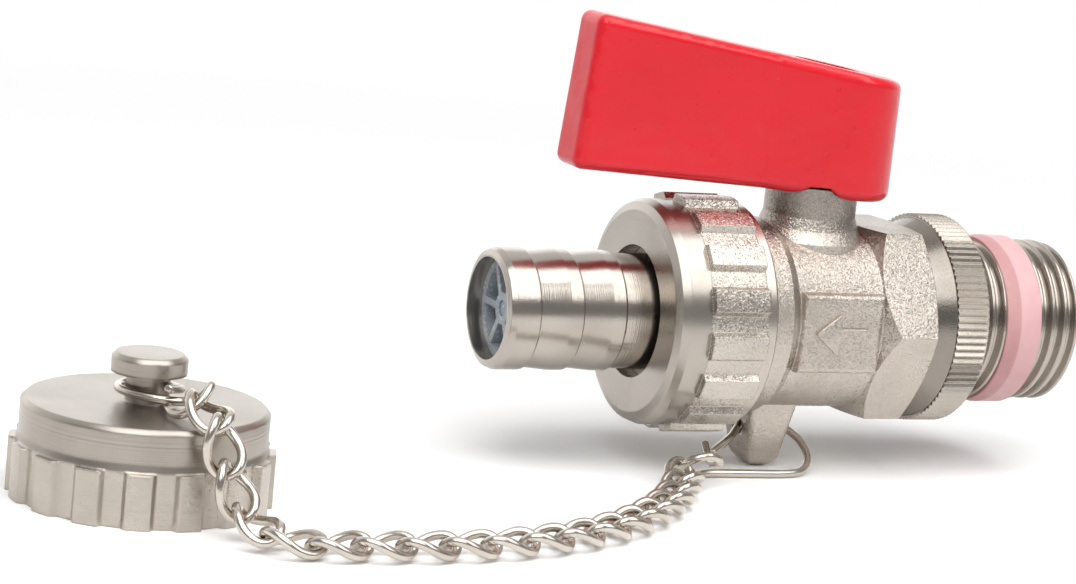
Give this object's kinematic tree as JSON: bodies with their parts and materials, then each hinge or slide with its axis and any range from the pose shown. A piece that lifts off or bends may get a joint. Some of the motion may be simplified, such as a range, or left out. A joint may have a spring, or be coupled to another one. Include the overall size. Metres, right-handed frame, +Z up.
{
  "type": "boiler drain cock",
  "caption": "Ball-type fill and drain cock with a lever handle, union nut, barbed hose tail, lock nut, sealing ring and a closing cap on a chain.",
  "frame": {"origin": "on the pipe axis, at the plane where the sealing ring meets the boiler", "axes": "+X along the pipe into the boiler, +Z up along the stem, -Y the side with the marking pad"},
  "size_m": [0.1406, 0.0583, 0.0564],
  "materials": {
    "blasted_nickel": "sand-blasted nickel plate",
    "turned_nickel": "turned nickel plate",
    "bare_brass": "turned",
    "ball_chrome": "polished",
    "wire_nickel": "bright nickel plate",
    "screw_steel": "zinc plate",
    "red_paint": "thick gloss paint",
    "pink_ring": "satin",
    "white_seat": "satin",
    "black_rubber": "matt",
    "clear_plastic": "milky"
  },
  "bodies": {
    "valve": {"valve_body": "blasted_nickel", "inlet_seat": "white_seat", "outlet_seat": "white_seat", "seat_retainer": "turned_nickel", "thrust_washer": "white_seat", "sealing_ring": "pink_ring", "lug_clip": "wire_nickel", "cap_clip": "wire_nickel", "chain_link_01": "wire_nickel", "chain_link_02": "wire_nickel", "chain_link_03": "wire_nickel", "chain_link_04": "wire_nickel", "chain_link_05": "wire_nickel", "chain_link_06": "wire_nickel", "chain_link_07": "wire_nickel", "chain_link_08": "wire_nickel", "chain_link_09": "wire_nickel", "chain_link_10": "wire_nickel", "chain_link_11": "wire_nickel", "chain_link_12": "wire_nickel", "chain_link_13": "wire_nickel", "chain_link_14": "wire_nickel", "chain_link_15": "wire_nickel", "chain_link_16": "wire_nickel", "chain_link_17": "wire_nickel", "chain_link_18": "wire_nickel", "chain_link_19": "wire_nickel"},
    "control": {"handle": "red_paint", "handle_screw": "screw_steel", "stem": "bare_brass", "stem_o_ring": "black_rubber", "ball": "ball_chrome"},
    "tail": {"hose_tail": "turned_nickel", "union_gasket": "black_rubber", "check_cage": "clear_plastic", "check_spring": "screw_steel"},
    "union": {"union_nut": "turned_nickel"},
    "poppet": {"check_poppet": "clear_plastic"},
    "lock": {"lock_nut": "turned_nickel"},
    "closing_cap": {"cap": "turned_nickel", "cap_gasket": "black_rubber"}
  },
  "joints": [
    {"name": "handle_turn", "type": "hinge", "parent": "valve", "child": "control", "pos_m": [-0.02975, 0, 0], "axis": [0, 0, -1], "range_deg": [0, 90]},
    {"name": "hose_tail_slide", "type": "slide", "parent": "valve", "child": "tail", "axis": [-1, 0, 0], "range_m": [0, 0.0082]},
    {"name": "union_nut_turn", "type": "hinge", "parent": "tail", "child": "union", "pos_m": [-0.05325, 0, 0], "axis": [-1, 0, 0], "range_deg": [0, 1620]},
    {"name": "lock_nut_turn", "type": "hinge", "parent": "valve", "child": "lock", "pos_m": [-0.0161, 0, 0], "axis": [1, 0, 0], "range_deg": [0, 830]},
    {"name": "check_poppet_slide", "type": "slide", "parent": "tail", "child": "poppet", "axis": [-1, 0, 0], "range_m": [0, 0.0025], "stiffness_N_per_m": 60, "springref_m": -0.003, "deforming": ["check_spring"]},
    {"name": "cap_swivel", "type": "hinge", "parent": "valve", "child": "closing_cap", "pos_m": [-0.119, -0.014, -0.0085], "axis": [0, 0, 1], "continuous": true}
  ],
  "couplings": [
    {"joint": "hose_tail_slide", "follows": "union_nut_turn", "m_per_rad": 0.0002887}
  ]
}
